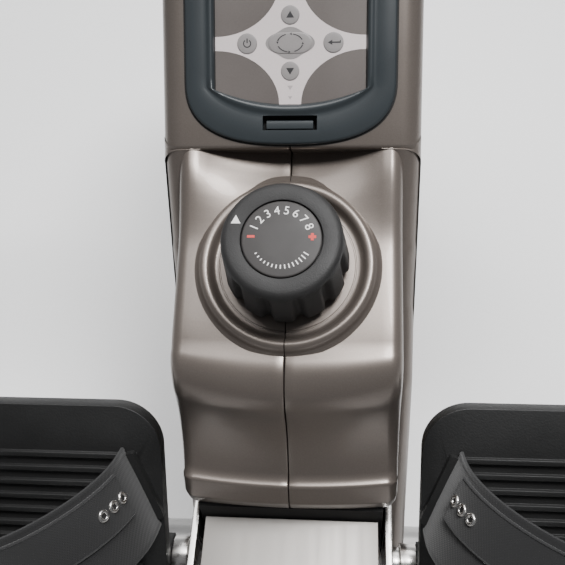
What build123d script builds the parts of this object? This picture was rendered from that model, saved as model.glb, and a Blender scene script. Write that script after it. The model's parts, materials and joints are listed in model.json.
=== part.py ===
from build123d import *
from math import asin, atan2, cos, degrees, pi, radians, sin, sqrt
import os

# Magnetic rowing machine. Millimetres, +Z up, X across, +Y towards the housing and -Y towards the seat.
# While it is modelled, Y is measured from the front edge of the rail; save() then centres the machine.

# ---- overall sizes
rail_top = 270.0
rail_width = 100.0
rail_height = 50.0
rail_length = 1340.0
pod_half_width = 70.0
block_half_width = 57.5
stabilizer_length = 440.0
front_stabilizer_length = 204.0
tube_radius = 25.0
cap_wall = 2.0
cap_length = 40.0
cap_end = 3.0
tube_wall = 2.0
pod_top = rail_top + 262.0
nose_y = 522.0

# ---- housing walls and clearances
shell_wall = 3.0
running_gap = 0.3
bearing_gap = 0.05
panel_gap = 0.5

# ---- rail, its grooves and its hinge
groove_depth = 16.0
groove_height = 24.0
web = 4.0
pivot_y = -60.0
pivot_z = rail_top - rail_height / 2
pivot_radius = 6.0
plate_thickness = 4.0
plate_gap = 4.0
front_leg_y = 430.0
middle_leg_y = 42.0
spine_half_width = 30.0
spine_bottom = 128.0
spine_height = 40.0
spine_top = spine_bottom + spine_height
spine_wall = 3.0
hinge_root = rail_width / 2 + plate_gap
hinge_outside = hinge_root + plate_thickness
mouth_half_width = hinge_outside + 3.0
pivot_head = 11.0

# ---- seat
seat_y = -560.0
seat_forward = 150.0
seat_back = 600.0
roller_offset = 60.0
roller_radius = groove_height / 2 - running_gap
roller_width = 12.0
seat_axle_radius = 4.0
carriage_half_length = 82.0
carriage_half_width = rail_width / 2 + 12.0
seat_width = 290.0
seat_depth = 230.0
seat_thickness = 62.0
board_thickness = 10.0

# ---- foot plates
foot_pivot_y = -13.0
foot_pivot_z = rail_top - 40.0
foot_axle_radius = 8.0
foot_inner_x = max(pod_half_width + 4.0, hinge_outside + 16.0)
foot_width = 125.0
toe_length = 108.0
heel_length = 190.0
foot_plate_lift = 10.0
foot_plate_thickness = 10.0
foot_angle_left = 48.0
foot_angle_right = 45.0
foot_corner = 26.0
ridge_pitch = 9.0
ridge_height = 2.5
strap_width = 54.0
strap_centre = 36.0
strap_margin = 8.5
strap_height = 70.0
strap_thickness = 3.0
strap_turn = 22.0

# ---- console: its lower edge and slope
console_y = 156.0
console_z = rail_top + 146.0
console_slope = 40.0
console_width = 111.0
console_length = 150.0
console_sagitta = 24.0
console_depth = 24.0
bezel_lip = 2.0
window_half_width = 40.0
window_low = 21.0
window_shoulder = 29.0
window_high = 142.0
overlay_thickness = 2.0
overlay_top = -1.0
key_radius = 5.2
mode_half_width = 12.0
mode_half_height = 5.6
key_side = 22.7
key_row = 52.7
key_up = 67.0
key_down = 38.4
key_travel = 0.8
key_proud = 0.5
board_top = -12.4
display_low = 84.0
display_high = 134.0
display_half_width = 34.0
latch_half_width = 12.3
latch_low = 7.9
latch_height = 4.8
latch_slot_high = 15.3
latch_slot_low = 7.4

# ---- tension knob
knob_y = 98.0
knob_z = rail_top + 117.0
recess_slope = 16.2
boss_radius = 48.0
boss_height = 4.0
boss_inner_radius = 39.0
knob_base_radius = 32.0
knob_top_radius = 29.0
knob_top = 41.5
knob_bottom = 5.5
flute_count = 12
flute_radius = 5.0
dial_radius = 19.2
dial_thickness = 2.5
post_radius = 6.0
neck_radius = 9.7
neck_depth = 14.0
foot_depth = 20.0

# ---- drive train
wheel_y = 375.0
wheel_z = 345.0
wheel_radius = 120.0
wheel_x0 = -14.0
wheel_x1 = 10.0
wheel_axle_radius = 6.0
drum_y = 185.0
drum_z = 290.0
drum_axle_radius = 6.0
coil_radius = 36.0
flange_radius = 45.0
big_pulley_radius = 80.0
small_pulley_radius = 20.0
belt_x0 = -34.0
belt_x1 = -21.0
belt_thickness = 3.0
idler_radius = 12.0
guide_y = 318.0
guide_radius = 14.0
guide_z = pod_top + guide_radius
strap_band = 25.0
strap_band_thickness = 2.0
upright_inner = 44.0
upright_outer = 48.0
floor_hole = upright_outer + 1.0
magnet_reach = 178.0
magnet_angle = -52.0
magnet_swing = 4.6
yoke_inner = 108.0
yoke_web = 124.0
yoke_outer = 134.0

# ---- handle
handle_y = 268.0
handle_z = guide_z + guide_radius + strap_band_thickness / 2
bar_radius = 12.5
bar_half_length = 225.0
grip_radius = 17.0
grip_start = 78.0

# ---- transport wheels
transport_radius = 28.0
transport_y = front_leg_y + tube_radius + transport_radius + 3.0
transport_z = transport_radius + 2.0
transport_width = 20.0
ear_gap = 1.0
ear_thickness = 3.0
ear_reach = transport_width / 2 + ear_gap + ear_thickness
transport_x = front_stabilizer_length / 2 - cap_length - ear_reach - 2.0

overall_front = nose_y
overall_rear = -rail_length - 3.0
middle_y = (overall_front + overall_rear) / 2
os.makedirs("parts", exist_ok=True)


def save(name, *pieces):
    """Write one node, its pieces kept as separate solids, in the centred frame."""
    solids = [solid for piece in pieces for solid in piece.solids()]
    shape = solids[0] if len(solids) == 1 else Compound(solids)
    export_step(Pos(0, -middle_y, 0) * shape, f"parts/{name}.step")


def block(x0, x1, y0, y1, z0, z1):
    centre = Pos((x0 + x1) / 2, (y0 + y1) / 2, (z0 + z1) / 2)
    return centre * Box(abs(x1 - x0), abs(y1 - y0), abs(z1 - z0))


def rod(x0, x1, y, z, radius):
    """A round bar across the machine."""
    return Plane(origin=(min(x0, x1), y, z), z_dir=(1, 0, 0)) * Cylinder(
        radius, abs(x1 - x0), align=(Align.CENTER, Align.CENTER, Align.MIN)
    )


def ring(x0, x1, y, z, outer, inner):
    return rod(x0, x1, y, z, outer) - rod(x0, x1, y, z, inner)


def slab(face, x0, x1):
    """A side-view face, drawn as (y, z), made into a solid from x0 to x1."""
    return extrude(Plane.YZ.offset(min(x0, x1)) * face, abs(x1 - x0))


def side(*points):
    return make_face(Polyline(*points, close=True))


def hull(*discs):
    """The side-view face round several discs, each (y, z, radius)."""
    return make_hull([edge for y, z, r in discs for edge in (Pos(y, z) * Circle(r)).edges()])


def both(make):
    """Call make(+1) and make(-1), for the right and the left of the machine."""
    return [make(1), make(-1)]


def tilted(y, z, slope):
    """A plane across the machine at (y, z), its second axis running up the slope."""
    a = radians(slope)
    return Plane(origin=(0, y, z), x_dir=(1, 0, 0), z_dir=(0, -sin(a), cos(a)))


def standing(plane, u, v, w0, w1, radius, top_radius=None):
    """A round post on a tilted plane, from height w0 to w1."""
    low = (Align.CENTER, Align.CENTER, Align.MIN)
    if top_radius is None:
        return plane * Pos(u, v, w0) * Cylinder(radius, w1 - w0, align=low)
    return plane * Pos(u, v, w0) * Cone(radius, top_radius, w1 - w0, align=low)


def lying(plane, face, w0, w1):
    return extrude(plane.offset(w0) * face, w1 - w0)


def box_on(plane, u0, u1, v0, v1, w0, w1):
    centre = Pos((u0 + u1) / 2, (v0 + v1) / 2, (w0 + w1) / 2)
    return plane * centre * Box(u1 - u0, v1 - v0, w1 - w0)


console = tilted(console_y, console_z, console_slope)
recess = tilted(knob_y, knob_z, recess_slope)


# ---------------------------------------------------------------- rail
def rail_section():
    half = rail_width / 2
    middle = rail_top - rail_height / 2
    section = Pos(0, middle) * Rectangle(rail_width, rail_height)
    for hand in (1, -1):
        section -= Pos(hand * (half - groove_depth / 2), middle) * Rectangle(groove_depth, groove_height)
    return section - Pos(0, middle) * Rectangle(
        rail_width - 2 * groove_depth - 2 * web, rail_height - 2 * web
    )


def rail_parts():
    hollow = rail_width / 2 - groove_depth - web
    rail = extrude(Plane.XZ * rail_section(), rail_length)
    rail -= rod(-rail_width, rail_width, pivot_y, pivot_z, pivot_radius + bearing_gap)
    save("slide_rail", rail)
    hinge_block = block(-hollow, hollow, -105, -6, rail_top - rail_height + web, rail_top - web)
    hinge_block -= rod(-60, 60, pivot_y, pivot_z, pivot_radius + bearing_gap)
    save("rail_hinge_block", hinge_block)
    rear = -rail_length
    cap = block(-rail_width / 2, rail_width / 2, rear - 3, rear, rail_top - rail_height, rail_top)
    plug = block(-hollow, hollow, rear, rear + 20, rail_top - rail_height + web, rail_top - web)
    save("rail_rear_cap", cap + plug)
    leg_y = rear + 45
    under = rail_top - rail_height
    tube_z = tube_radius + cap_wall
    leg = block(-45, 45, leg_y - 40, leg_y + 40, under - 6, under)
    leg += block(-30, 30, leg_y - 15, leg_y + 15, tube_z, under - 6)
    save("rear_leg", leg - rod(-60, 60, leg_y, tube_z, tube_radius))
    half = stabilizer_length / 2
    save("rear_stabilizer", ring(-half, half, leg_y, tube_z, tube_radius, tube_radius - tube_wall))
    caps = both(lambda hand: stabilizer_cap(hand, leg_y, stabilizer_length))
    save("rear_stabilizer_caps", *caps)
    front_stop = seat_y + seat_forward + roller_offset + roller_radius + running_gap
    rear_stop = seat_y - seat_back - roller_offset - roller_radius - running_gap
    stops = []
    for hand in (1, -1):
        for y0, y1 in ((front_stop, front_stop + 15), (rear_stop - 15, rear_stop)):
            x0 = hand * (rail_width / 2 - groove_depth)
            x1 = hand * (rail_width / 2 - 1)
            stops.append(block(x0, x1, y0, y1, pivot_z - groove_height / 2, pivot_z + groove_height / 2))
    save("seat_stops", *stops)


def stabilizer_cap(hand, y, length):
    """A rubber cap that slides over the end of a stabilizer tube and rests on the floor."""
    z = tube_radius + cap_wall
    end = length / 2
    outer = rod(hand * (end - cap_length), hand * (end + cap_end), y, z, tube_radius + cap_wall)
    outer += block(hand * (end - cap_length), hand * (end + cap_end), y - 16, y + 16, 0, z)
    return outer - rod(hand * (end - cap_length - 1), hand * end, y, z, tube_radius)


# ---------------------------------------------------------------- seat
def seat_parts():
    top = rail_top + 3
    flange_low = pivot_z - 12
    x1 = carriage_half_width
    x0 = x1 - 4
    y0 = seat_y - carriage_half_length
    y1 = seat_y + carriage_half_length
    carriage = block(-x1, x1, y0, y1, top, top + 4)
    for hand in (1, -1):
        carriage += block(hand * x0, hand * x1, y0, y1, flange_low, top + 4)
        for dy in (roller_offset, -roller_offset):
            carriage -= rod(hand * (x0 - 1), hand * (x1 + 1), seat_y + dy, pivot_z, seat_axle_radius)
    inner = rail_width / 2 - groove_depth + 1
    axles = []
    for hand in (1, -1):
        for dy in (roller_offset, -roller_offset):
            y = seat_y + dy
            pin = rod(hand * inner, hand * (x1 + 0.1), y, pivot_z, seat_axle_radius)
            head = rod(hand * x1, hand * (x1 + 5), y, pivot_z, seat_axle_radius + 3)
            axles.append(pin + head)
    save("seat_carriage", carriage, *axles)
    for name, dy in (("seat_rollers_front", roller_offset), ("seat_rollers_rear", -roller_offset)):
        x_in = rail_width / 2 - groove_depth + 2
        bore = seat_axle_radius + bearing_gap
        save(name, *both(lambda hand: ring(
            hand * x_in, hand * (x_in + roller_width), seat_y + dy, pivot_z, roller_radius, bore
        )))
    board_low = top + 4
    board = block(-130, 130, seat_y - 100, seat_y + 100, board_low, board_low + board_thickness)
    save("seat_board", fillet(board.edges().filter_by(Axis.Z), 30))
    pad_low = board_low + board_thickness
    outline = Pos(0, seat_y) * RectangleRounded(seat_width, seat_depth, 60)
    pad = extrude(Plane.XY.offset(pad_low) * outline, seat_thickness)
    save("seat_pad", fillet(pad.edges().group_by(Axis.Z)[-1], 22))


# ---------------------------------------------------------------- foot plates
def foot_parts(hand, name, angle):
    """One foot plate on its axle: hand is +1 on the right and -1 on the left."""
    plane = tilted(foot_pivot_y, foot_pivot_z, angle)
    centre_u = hand * (foot_inner_x + foot_width / 2)
    low = foot_plate_lift
    high = low + foot_plate_thickness
    length = toe_length + heel_length
    outline = Pos(centre_u, (toe_length - heel_length) / 2) * RectangleRounded(foot_width, length, foot_corner)
    plate = lying(plane, outline, low, high)
    u0 = centre_u - foot_width / 2
    u1 = centre_u + foot_width / 2
    for n in range(24):
        v = toe_length - 30 - n * ridge_pitch
        if abs(v) > 1:
            plate += box_on(plane, u0 + 14, u1 - 14, v - 1.5, v + 1.5, high - 0.5, high + ridge_height)
    cup = lying(plane, outline, high - 0.5, high + 28)
    inner = Pos(centre_u, (toe_length - heel_length) / 2) * RectangleRounded(
        foot_width - 10, length - 10, foot_corner - 5
    )
    cup -= lying(plane, inner, high - 2, high + 30)
    cup -= box_on(plane, u0 - 1, u1 + 1, 60 - heel_length, toe_length + 1, high - 2, high + 30)
    plate += cup
    plate += box_on(plane, u0, u1, -foot_axle_radius - 4, foot_axle_radius + 4, -6, low + 1)
    hub = rod(hand * foot_inner_x, hand * (foot_inner_x + foot_width), foot_pivot_y, foot_pivot_z, 12)
    bore = rod(hand * (foot_inner_x - 1), hand * (foot_inner_x + foot_width + 1), foot_pivot_y,
               foot_pivot_z, foot_axle_radius + bearing_gap)
    save(f"foot_plate_{name}", plate + hub - bore)
    save(f"foot_strap_{name}", foot_strap(plane, hand, centre_u, high + ridge_height + running_gap))


def foot_strap(plane, hand, centre_u, low):
    """The webbing arch over the foot, with its feet flat on the plate."""
    half = foot_width / 2 - strap_margin
    spring = strap_height - half
    outer = Pos(0, spring / 2) * Rectangle(2 * half, spring) + Pos(0, spring) * Circle(half)
    inner_half = half - strap_thickness
    inner = Pos(0, spring / 2) * Rectangle(2 * inner_half, spring) + Pos(0, spring) * Circle(inner_half)
    arch = (outer - inner) & (Pos(0, strap_height / 2) * Rectangle(4 * half, strap_height))
    local = extrude(Plane.XZ * arch, strap_width / 2, both=True)
    return plane * Pos(centre_u, strap_centre, low) * Rot(0, 0, -hand * strap_turn) * local


# ---------------------------------------------------------------- frame
def yoke_point(radius, angle):
    a = radians(angle)
    return wheel_y + radius * cos(a), wheel_z + radius * sin(a)


magnet_y, magnet_z = yoke_point(magnet_reach, magnet_angle)
belt_slope = degrees(atan2(wheel_z - drum_z, wheel_y - drum_y))
belt_span = sqrt((wheel_y - drum_y) ** 2 + (wheel_z - drum_z) ** 2)
belt_lean = degrees(asin((big_pulley_radius - small_pulley_radius) / belt_span))
idler_lean = radians(belt_slope + belt_lean - 90)
idler_reach = belt_thickness + 0.15 + running_gap + idler_radius
low_run_y = (drum_y + wheel_y) / 2 + (big_pulley_radius + small_pulley_radius) / 2 * cos(idler_lean)
low_run_z = (drum_z + wheel_z) / 2 + (big_pulley_radius + small_pulley_radius) / 2 * sin(idler_lean)
idler_y = low_run_y + idler_reach * cos(idler_lean)
idler_z = low_run_z + idler_reach * sin(idler_lean)
screw_places = [(140.0, 200.0), (300.0, 318.0), (440.0, 262.0), (330.0, 196.0)]
screw_radius = 2.0
boss_radius_screw = 6.0
tube_centre = tube_radius + cap_wall


def frame_parts():
    half = spine_half_width
    frame = block(-half, half, 25, 455, spine_bottom, spine_top)
    frame -= block(-half + spine_wall, half - spine_wall, 25 + spine_wall, 455 - spine_wall,
                   spine_bottom + spine_wall, spine_top - spine_wall)
    frame += block(-hinge_root, hinge_root, 25, 95, spine_bottom + 12, spine_top)
    for y in (front_leg_y, middle_leg_y):
        frame += block(-24, 24, y - 18, y + 18, tube_centre, spine_bottom + spine_wall)
        frame -= rod(-60, 60, y, tube_centre, tube_radius)
    outline = hull((drum_y, drum_z, 24), (wheel_y, wheel_z, 24), (magnet_y, magnet_z, 12),
                   (130, spine_top + 14, 14))
    holes = [(drum_y, drum_z, drum_axle_radius), (wheel_y, wheel_z, wheel_axle_radius),
             (magnet_y, magnet_z, 4)]
    holes += [(y, z, screw_radius) for y, z in screw_places]
    for hand in (1, -1):
        plate = slab(outline, hand * upright_inner, hand * upright_outer)
        for y, z, r in holes:
            plate -= rod(hand * (upright_inner - 1), hand * (upright_outer + 1), y, z, r)
        frame += plate
    for y in (150, 400):
        frame += block(-upright_inner, upright_inner, y - 12, y + 12, spine_top - 3, spine_top + 3)
    frame += rod(-upright_inner, belt_x1, idler_y, idler_z, 4)
    save("main_frame", frame)
    save("front_stabilizer", stabilizer(front_leg_y, front_stabilizer_length, True))
    save("middle_stabilizer", stabilizer(middle_leg_y, stabilizer_length, False))
    feet = ((front_leg_y, front_stabilizer_length), (middle_leg_y, stabilizer_length))
    caps = [stabilizer_cap(hand, y, length) for y, length in feet for hand in (1, -1)]
    save("stabilizer_caps", *caps)
    plates = []
    outline = hull((pivot_y, pivot_z, 27), (22, pivot_z + 12, 11), (60, spine_top - 14, 14))
    for hand in (1, -1):
        x0 = hand * hinge_root
        x1 = hand * hinge_outside
        plate = slab(outline, x0, x1)
        plate -= rod(x0 - hand, x1 + hand, pivot_y, pivot_z, pivot_radius)
        plate -= rod(x0 - hand, x1 + hand, foot_pivot_y, foot_pivot_z, foot_axle_radius)
        plates.append(plate)
    save("hinge_plates", *plates)
    root = hinge_root
    tip = foot_inner_x + foot_width
    hardware = both(lambda hand: rod(
        hand * root, hand * (tip + 8), foot_pivot_y, foot_pivot_z, foot_axle_radius
    ))
    for hand in (1, -1):
        for x0, x1, r in ((hinge_outside, hinge_outside + 6, 10), (hinge_outside + 6, foot_inner_x - running_gap, 12),
                          (tip + running_gap, tip + 8, 12)):
            hardware.append(ring(hand * x0, hand * x1, foot_pivot_y, foot_pivot_z, r, foot_axle_radius))
    save("foot_axles", *hardware)
    save_pivot(root)


def stabilizer(y, length, with_wheels):
    half = length / 2
    tube = ring(-half, half, y, tube_centre, tube_radius, tube_radius - tube_wall)
    if not with_wheels:
        return tube
    for hand in (1, -1):
        for dx in (-ear_reach, ear_reach - ear_thickness):
            x0 = hand * transport_x + dx
            ear = slab(hull((y + 10, tube_centre, 14), (transport_y, transport_z, 10)), x0, x0 + ear_thickness)
            tube += ear - rod(x0 - 1, x0 + 4, y, tube_centre, tube_radius - 1)
        x0 = hand * transport_x
        tube += rod(x0 - ear_reach, x0 + ear_reach, transport_y, transport_z, 4)
    return tube


def save_pivot(root):
    outside = hinge_outside
    bolt = rod(-outside, outside, pivot_y, pivot_z, pivot_radius)
    bolt += rod(outside, outside + 6, pivot_y, pivot_z, pivot_head)
    bolt += rod(-outside - 15, -outside, pivot_y, pivot_z, pivot_radius)
    washers = both(lambda hand: ring(
        hand * (rail_width / 2 + running_gap), hand * root, pivot_y, pivot_z, 14, pivot_radius
    ))
    save("rail_pivot_bolt", bolt, *washers)
    knob = rod(-outside - running_gap, -outside - 14, pivot_y, pivot_z, 16)
    for n in range(6):
        a = 2 * pi * n / 6
        knob += rod(-outside - running_gap, -outside - 14, pivot_y + 14 * cos(a), pivot_z + 14 * sin(a), 6)
    save("fold_lock_knob", knob - rod(-outside, -outside - 16, pivot_y, pivot_z, pivot_radius + bearing_gap))
    for hand, name in ((1, "right"), (-1, "left")):
        x0 = hand * transport_x - transport_width / 2
        wheel = ring(x0, x0 + transport_width, transport_y, transport_z, transport_radius, 4 + bearing_gap)
        groove = ring(x0 + 5, x0 + transport_width - 5, transport_y, transport_z, transport_radius + 1,
                      transport_radius - 1.5)
        save(f"transport_wheel_{name}", wheel - groove)


# ---------------------------------------------------------------- housing
def pod_outline():
    t = rail_top
    lines = Polyline(
        (470, t - 100), (4, t - 100), (1, t - 79), (67, t + 38), (105, t + 71), (112, t + 96),
        (147, t + 127), (console_y, console_z), (271, t + 242), (286, t + 256), (296, pod_top), (352, pod_top),
    )
    nose = ThreePointArc((352, pod_top), (470, t + 188), (nose_y, t + 40))
    chin = ThreePointArc((nose_y, t + 40), (514, t - 50), (470, t - 100))
    return make_face(lines + nose + chin)


def block_outline():
    t = rail_top
    a = radians(recess_slope)
    run = 63.0
    top = (knob_y + run * cos(a), knob_z + run * sin(a))
    crease = (knob_y - 72 * cos(a), knob_z - 72 * sin(a))
    lines = Polyline((10, t + 34), (3, t + 26), (3, t + 16), (12, t + 8), (165, t + 8), top, crease)
    return make_face(lines + ThreePointArc(crease, (22, t + 62), (10, t + 34)))


def console_outline(grow):
    half = console_width / 2 + grow
    low = Line((half, console_sagitta), (half, console_length + grow))
    top = Line((half, console_length + grow), (-half, console_length + grow))
    left = Line((-half, console_length + grow), (-half, console_sagitta))
    return make_face(low + top + left + ThreePointArc((-half, console_sagitta), (0, -grow), (half, console_sagitta)))


def window_outline(shrink):
    half = window_half_width - shrink
    high = window_high - shrink
    sides = Polyline((half, window_shoulder), (half, high), (-half, high), (-half, window_shoulder))
    return make_face(sides + ThreePointArc(
        (-half, window_shoulder), (0, window_low + shrink), (half, window_shoulder)
    ))


def housing_parts():
    outer = slab(pod_outline(), -pod_half_width, pod_half_width)
    outer += slab(block_outline(), -block_half_width, block_half_width)
    thin = shell_wall
    hollow = slab(offset(pod_outline(), -thin), thin - pod_half_width, pod_half_width - thin)
    hollow += slab(offset(block_outline(), -thin), thin - block_half_width, block_half_width - thin)
    ridge = standing(recess, 0, 0, -1, boss_height, boss_radius, boss_radius - 2)
    ridge -= standing(recess, 0, 0, -2, boss_height + 1, boss_inner_radius)
    shell = outer + ridge - hollow
    mouth = mouth_half_width
    shell -= block(-mouth, mouth, -40, 72, rail_top - 101, rail_top + 8)
    shell -= block(-mouth, mouth, -40, 130, rail_top - 104, rail_top - 90)
    shell -= block(-floor_hole, floor_hole, 0, 462, rail_top - 104, rail_top - 96)
    shell -= lying(console, console_outline(panel_gap), -20, 40)
    shell -= standing(recess, 0, 0, -10, 10, neck_radius + running_gap)
    shell -= block(-18, 18, guide_y - 2, guide_y + 22, pod_top - 12, pod_top + 8)
    for hand in (1, -1):
        for y, z in screw_places:
            shell += rod(hand * upright_outer, hand * (pod_half_width - 1), y, z, boss_radius_screw)
            shell -= rod(hand * (upright_outer - 1), hand * (pod_half_width + 1), y, z, screw_radius)
            shell -= rod(hand * (pod_half_width - 2.5), hand * (pod_half_width + 1), y, z, 4.2)
    for hand, name in ((1, "right"), (-1, "left")):
        space = block(0, hand * 200, -200, 800, -100, 900)
        save(f"housing_{name}", shell & space)
    screws = []
    for hand in (1, -1):
        for y, z in screw_places:
            screw = rod(hand * upright_inner, hand * (pod_half_width - 2), y, z, screw_radius)
            screws.append(screw + rod(hand * (pod_half_width - 2.5), hand * pod_half_width, y, z, 4.2))
    save("housing_screws", *screws)



# ---------------------------------------------------------------- console
def key_places():
    return {
        "up_button": (0, key_up, key_radius),
        "down_button": (0, key_down, key_radius),
        "reset_button": (-key_side, key_row, key_radius),
        "enter_button": (key_side, key_row, key_radius),
        "mode_button": (0, key_row, mode_half_width),
    }


def key_face(half_width, grow):
    """A round key, or the long one where it is wider than it is high."""
    if half_width == mode_half_width:
        return SlotOverall(2 * (half_width + grow), 2 * (mode_half_height + grow))
    return Circle(half_width + grow)


def console_parts():
    face_low = overlay_top - overlay_thickness
    bezel = lying(console, console_outline(0), face_low - 3, bezel_lip)
    bezel -= lying(console, window_outline(0), face_low - 4, bezel_lip + 1)
    bezel -= box_on(console, -latch_half_width - 2, latch_half_width + 2, latch_slot_low, latch_slot_high,
                    face_low - 4, bezel_lip + 1)
    save("console_bezel", bezel)
    overlay = lying(console, window_outline(0.2), face_low, overlay_top)
    overlay -= box_on(console, -display_half_width, display_half_width, display_low, display_high,
                      face_low - 1, overlay_top + 1)
    keys = key_places()
    for u, v, size in keys.values():
        overlay -= lying(console, Pos(u, v) * key_face(size, running_gap), face_low - 1, overlay_top + 1)
    save("console_overlay", overlay)
    save("display_lens", box_on(console, 0.1 - display_half_width, display_half_width - 0.1,
                                display_low + 0.1, display_high - 0.1, face_low, overlay_top))
    for name, (u, v, size) in keys.items():
        cap = lying(console, Pos(u, v) * key_face(size, 0), face_low - 6, overlay_top + key_proud)
        cap += standing(console, u, v, board_top + key_travel + 0.4, face_low - 5, 2.0)
        save(name, cap)
    latch = box_on(console, -latch_half_width, latch_half_width, latch_low, latch_low + latch_height,
                   face_low - 2.7, bezel_lip - 0.5)
    save("console_latch", latch)
    top = face_low - 3
    case = lying(console, console_outline(-1), -console_depth, top)
    bump = box_on(console, -32, 32, 26, 68, -40, -console_depth)
    case += bump
    inner = lying(console, console_outline(-3), -console_depth + 2, top + 1)
    case -= inner
    case -= box_on(console, -30, 30, 28, 66, -38, -console_depth + 3)
    for u in (-1, 1):
        for v in (40, 120):
            case += standing(console, u * 44, v, -console_depth + 1, board_top - 1.6, 4)
    save("console_back_case", case)
    board = box_on(console, -48, 48, 32, 140, board_top - 1.6, board_top)
    save("circuit_board", board)
    cells = []
    for v in (38.5, 55.5):
        cells.append(console * Pos(0, v, -30.6) * Rot(0, 90, 0) * Cylinder(7.1, 50))
    save("batteries", *cells)


# ---------------------------------------------------------------- tension knob
def knob_parts():
    knob = standing(recess, 0, 0, knob_bottom, knob_top, knob_base_radius, knob_top_radius)
    for n in range(flute_count):
        a = 2 * pi * (n + 0.5) / flute_count
        reach = knob_base_radius + 2.0
        knob -= standing(recess, reach * cos(a), reach * sin(a), knob_bottom - 1, knob_top - 6, flute_radius)
    knob += standing(recess, 0, 0, -neck_depth, knob_bottom + 1, neck_radius)
    knob -= standing(recess, 0, 0, -neck_depth - 1, knob_top + 1, post_radius + bearing_gap)
    knob -= standing(recess, 0, 0, knob_top - dial_thickness - running_gap, knob_top + 1,
                     dial_radius + running_gap)
    save("tension_knob", knob)
    dial = standing(recess, 0, 0, knob_top - dial_thickness, knob_top, dial_radius)
    dial += standing(recess, 0, 0, -foot_depth, knob_top - dial_thickness, post_radius)
    dial += box_on(recess, -30, 30, -30, 30, -foot_depth - 3, -foot_depth)
    for u in (-25, 25):
        for v in (-25, 25):
            dial += standing(recess, u, v, -foot_depth - 1, -shell_wall, 3)
    save("dial_plate", dial)


# ---------------------------------------------------------------- drive train
def drive_parts():
    hub0 = wheel_x0 - 6
    disc = rod(wheel_x0, wheel_x1, wheel_y, wheel_z, wheel_radius)
    for x0, x1 in ((wheel_x0 - 1, wheel_x0 + 6), (wheel_x1 - 6, wheel_x1 + 1)):
        disc -= ring(x0, x1, wheel_y, wheel_z, wheel_radius - 22, 30)
    disc += rod(hub0, wheel_x1 + 6, wheel_y, wheel_z, 24)
    bore = wheel_axle_radius + bearing_gap
    small = rod(belt_x0, hub0, wheel_y, wheel_z, small_pulley_radius)
    shaft_space = rod(-60, 60, wheel_y, wheel_z, bore)
    save("flywheel", disc - shaft_space, small - shaft_space)
    big = rod(belt_x0, belt_x1 + 1, drum_y, drum_z, big_pulley_radius)
    for x0, x1 in ((belt_x0 - 1, belt_x0 + 5), (belt_x1 - 4, belt_x1 + 2)):
        big -= ring(x0, x1, drum_y, drum_z, big_pulley_radius - 10, 20)
    save("drive_pulley", big - rod(-60, 60, drum_y, drum_z, drum_axle_radius + bearing_gap))
    gap = 0.15
    band = []
    for grow in (gap, gap + belt_thickness):
        face = hull((drum_y, drum_z, big_pulley_radius + grow), (wheel_y, wheel_z, small_pulley_radius + grow))
        band.append(slab(face, belt_x0 + 0.5, belt_x1 - 0.5))
    save("drive_belt", band[1] - band[0])
    save("belt_idler", ring(belt_x0 + 0.5, belt_x1 - 0.5, idler_y, idler_z, idler_radius, 4 + bearing_gap))
    drum = rod(-18, 18, drum_y, drum_z, 22)
    for x0, x1 in ((-18, -15), (15, 18)):
        drum += rod(x0, x1, drum_y, drum_z, flange_radius)
    coil = ring(-strap_band / 2, strap_band / 2, drum_y, drum_z, coil_radius, 22)
    save("strap_drum", drum - rod(-60, 60, drum_y, drum_z, drum_axle_radius + bearing_gap), coil)
    save("recoil_spring_case", ring(20, upright_inner, drum_y, drum_z, flange_radius, drum_axle_radius))
    shafts = [
        rod(-upright_outer, upright_outer, drum_y, drum_z, drum_axle_radius),
        rod(-upright_outer, upright_outer, wheel_y, wheel_z, wheel_axle_radius),
        rod(-upright_outer, upright_outer, magnet_y, magnet_z, 4),
        rod(-26, 26, guide_y, guide_z, 4),
    ]
    save("inner_axles", *shafts)
    roller = ring(-15, 15, guide_y, guide_z, guide_radius, 4 + bearing_gap)
    save("guide_roller", roller)
    sensor_y, sensor_z = yoke_point(82, -67)
    save("speed_sensor", block(wheel_x1 + 5, upright_inner, sensor_y - 7, sensor_y + 7, sensor_z - 8, sensor_z + 8))
    magnet_parts()
    strap_run()


def magnet_parts():
    """The yoke is drawn where its magnets are nearest the rim, then swung out to its resting place."""
    faces = []
    for r0, r1 in ((yoke_web, yoke_outer), (yoke_inner, yoke_outer)):
        a0, a1 = -112, -58
        (y0, z0), (y1, z1) = yoke_point(r0, a0), yoke_point(r0, a1)
        (y2, z2), (y3, z3) = yoke_point(r1, a1), yoke_point(r1, a0)
        low, high = yoke_point(r0, (a0 + a1) / 2), yoke_point(r1, (a0 + a1) / 2)
        faces.append(make_face(
            ThreePointArc((y0, z0), low, (y1, z1)) + Line((y1, z1), (y2, z2))
            + ThreePointArc((y2, z2), high, (y3, z3)) + Line((y3, z3), (y0, z0))
        ))
    arm = slab(faces[0], -23, 19)
    arm += slab(faces[1], -23, -20) + slab(faces[1], 16, 19)
    y0, z0 = yoke_point((yoke_web + yoke_outer) / 2, -60)
    arm += slab(hull((magnet_y, magnet_z, 9), (y0, z0, 4.5)), -23, 19)
    arm -= rod(-30, 30, magnet_y, magnet_z, 4 + bearing_gap)
    magnets = []
    for angle in (-104, -92, -80, -68):
        y, z = yoke_point(115, angle)
        magnets += [rod(-20, -16.5, y, z, 6), rod(12.5, 16, y, z, 6)]
    turn = Pos(0, magnet_y, magnet_z) * Rot(magnet_swing, 0, 0) * Pos(0, -magnet_y, -magnet_z)
    save("magnet_arm", turn * arm, *[turn * magnet for magnet in magnets])


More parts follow.
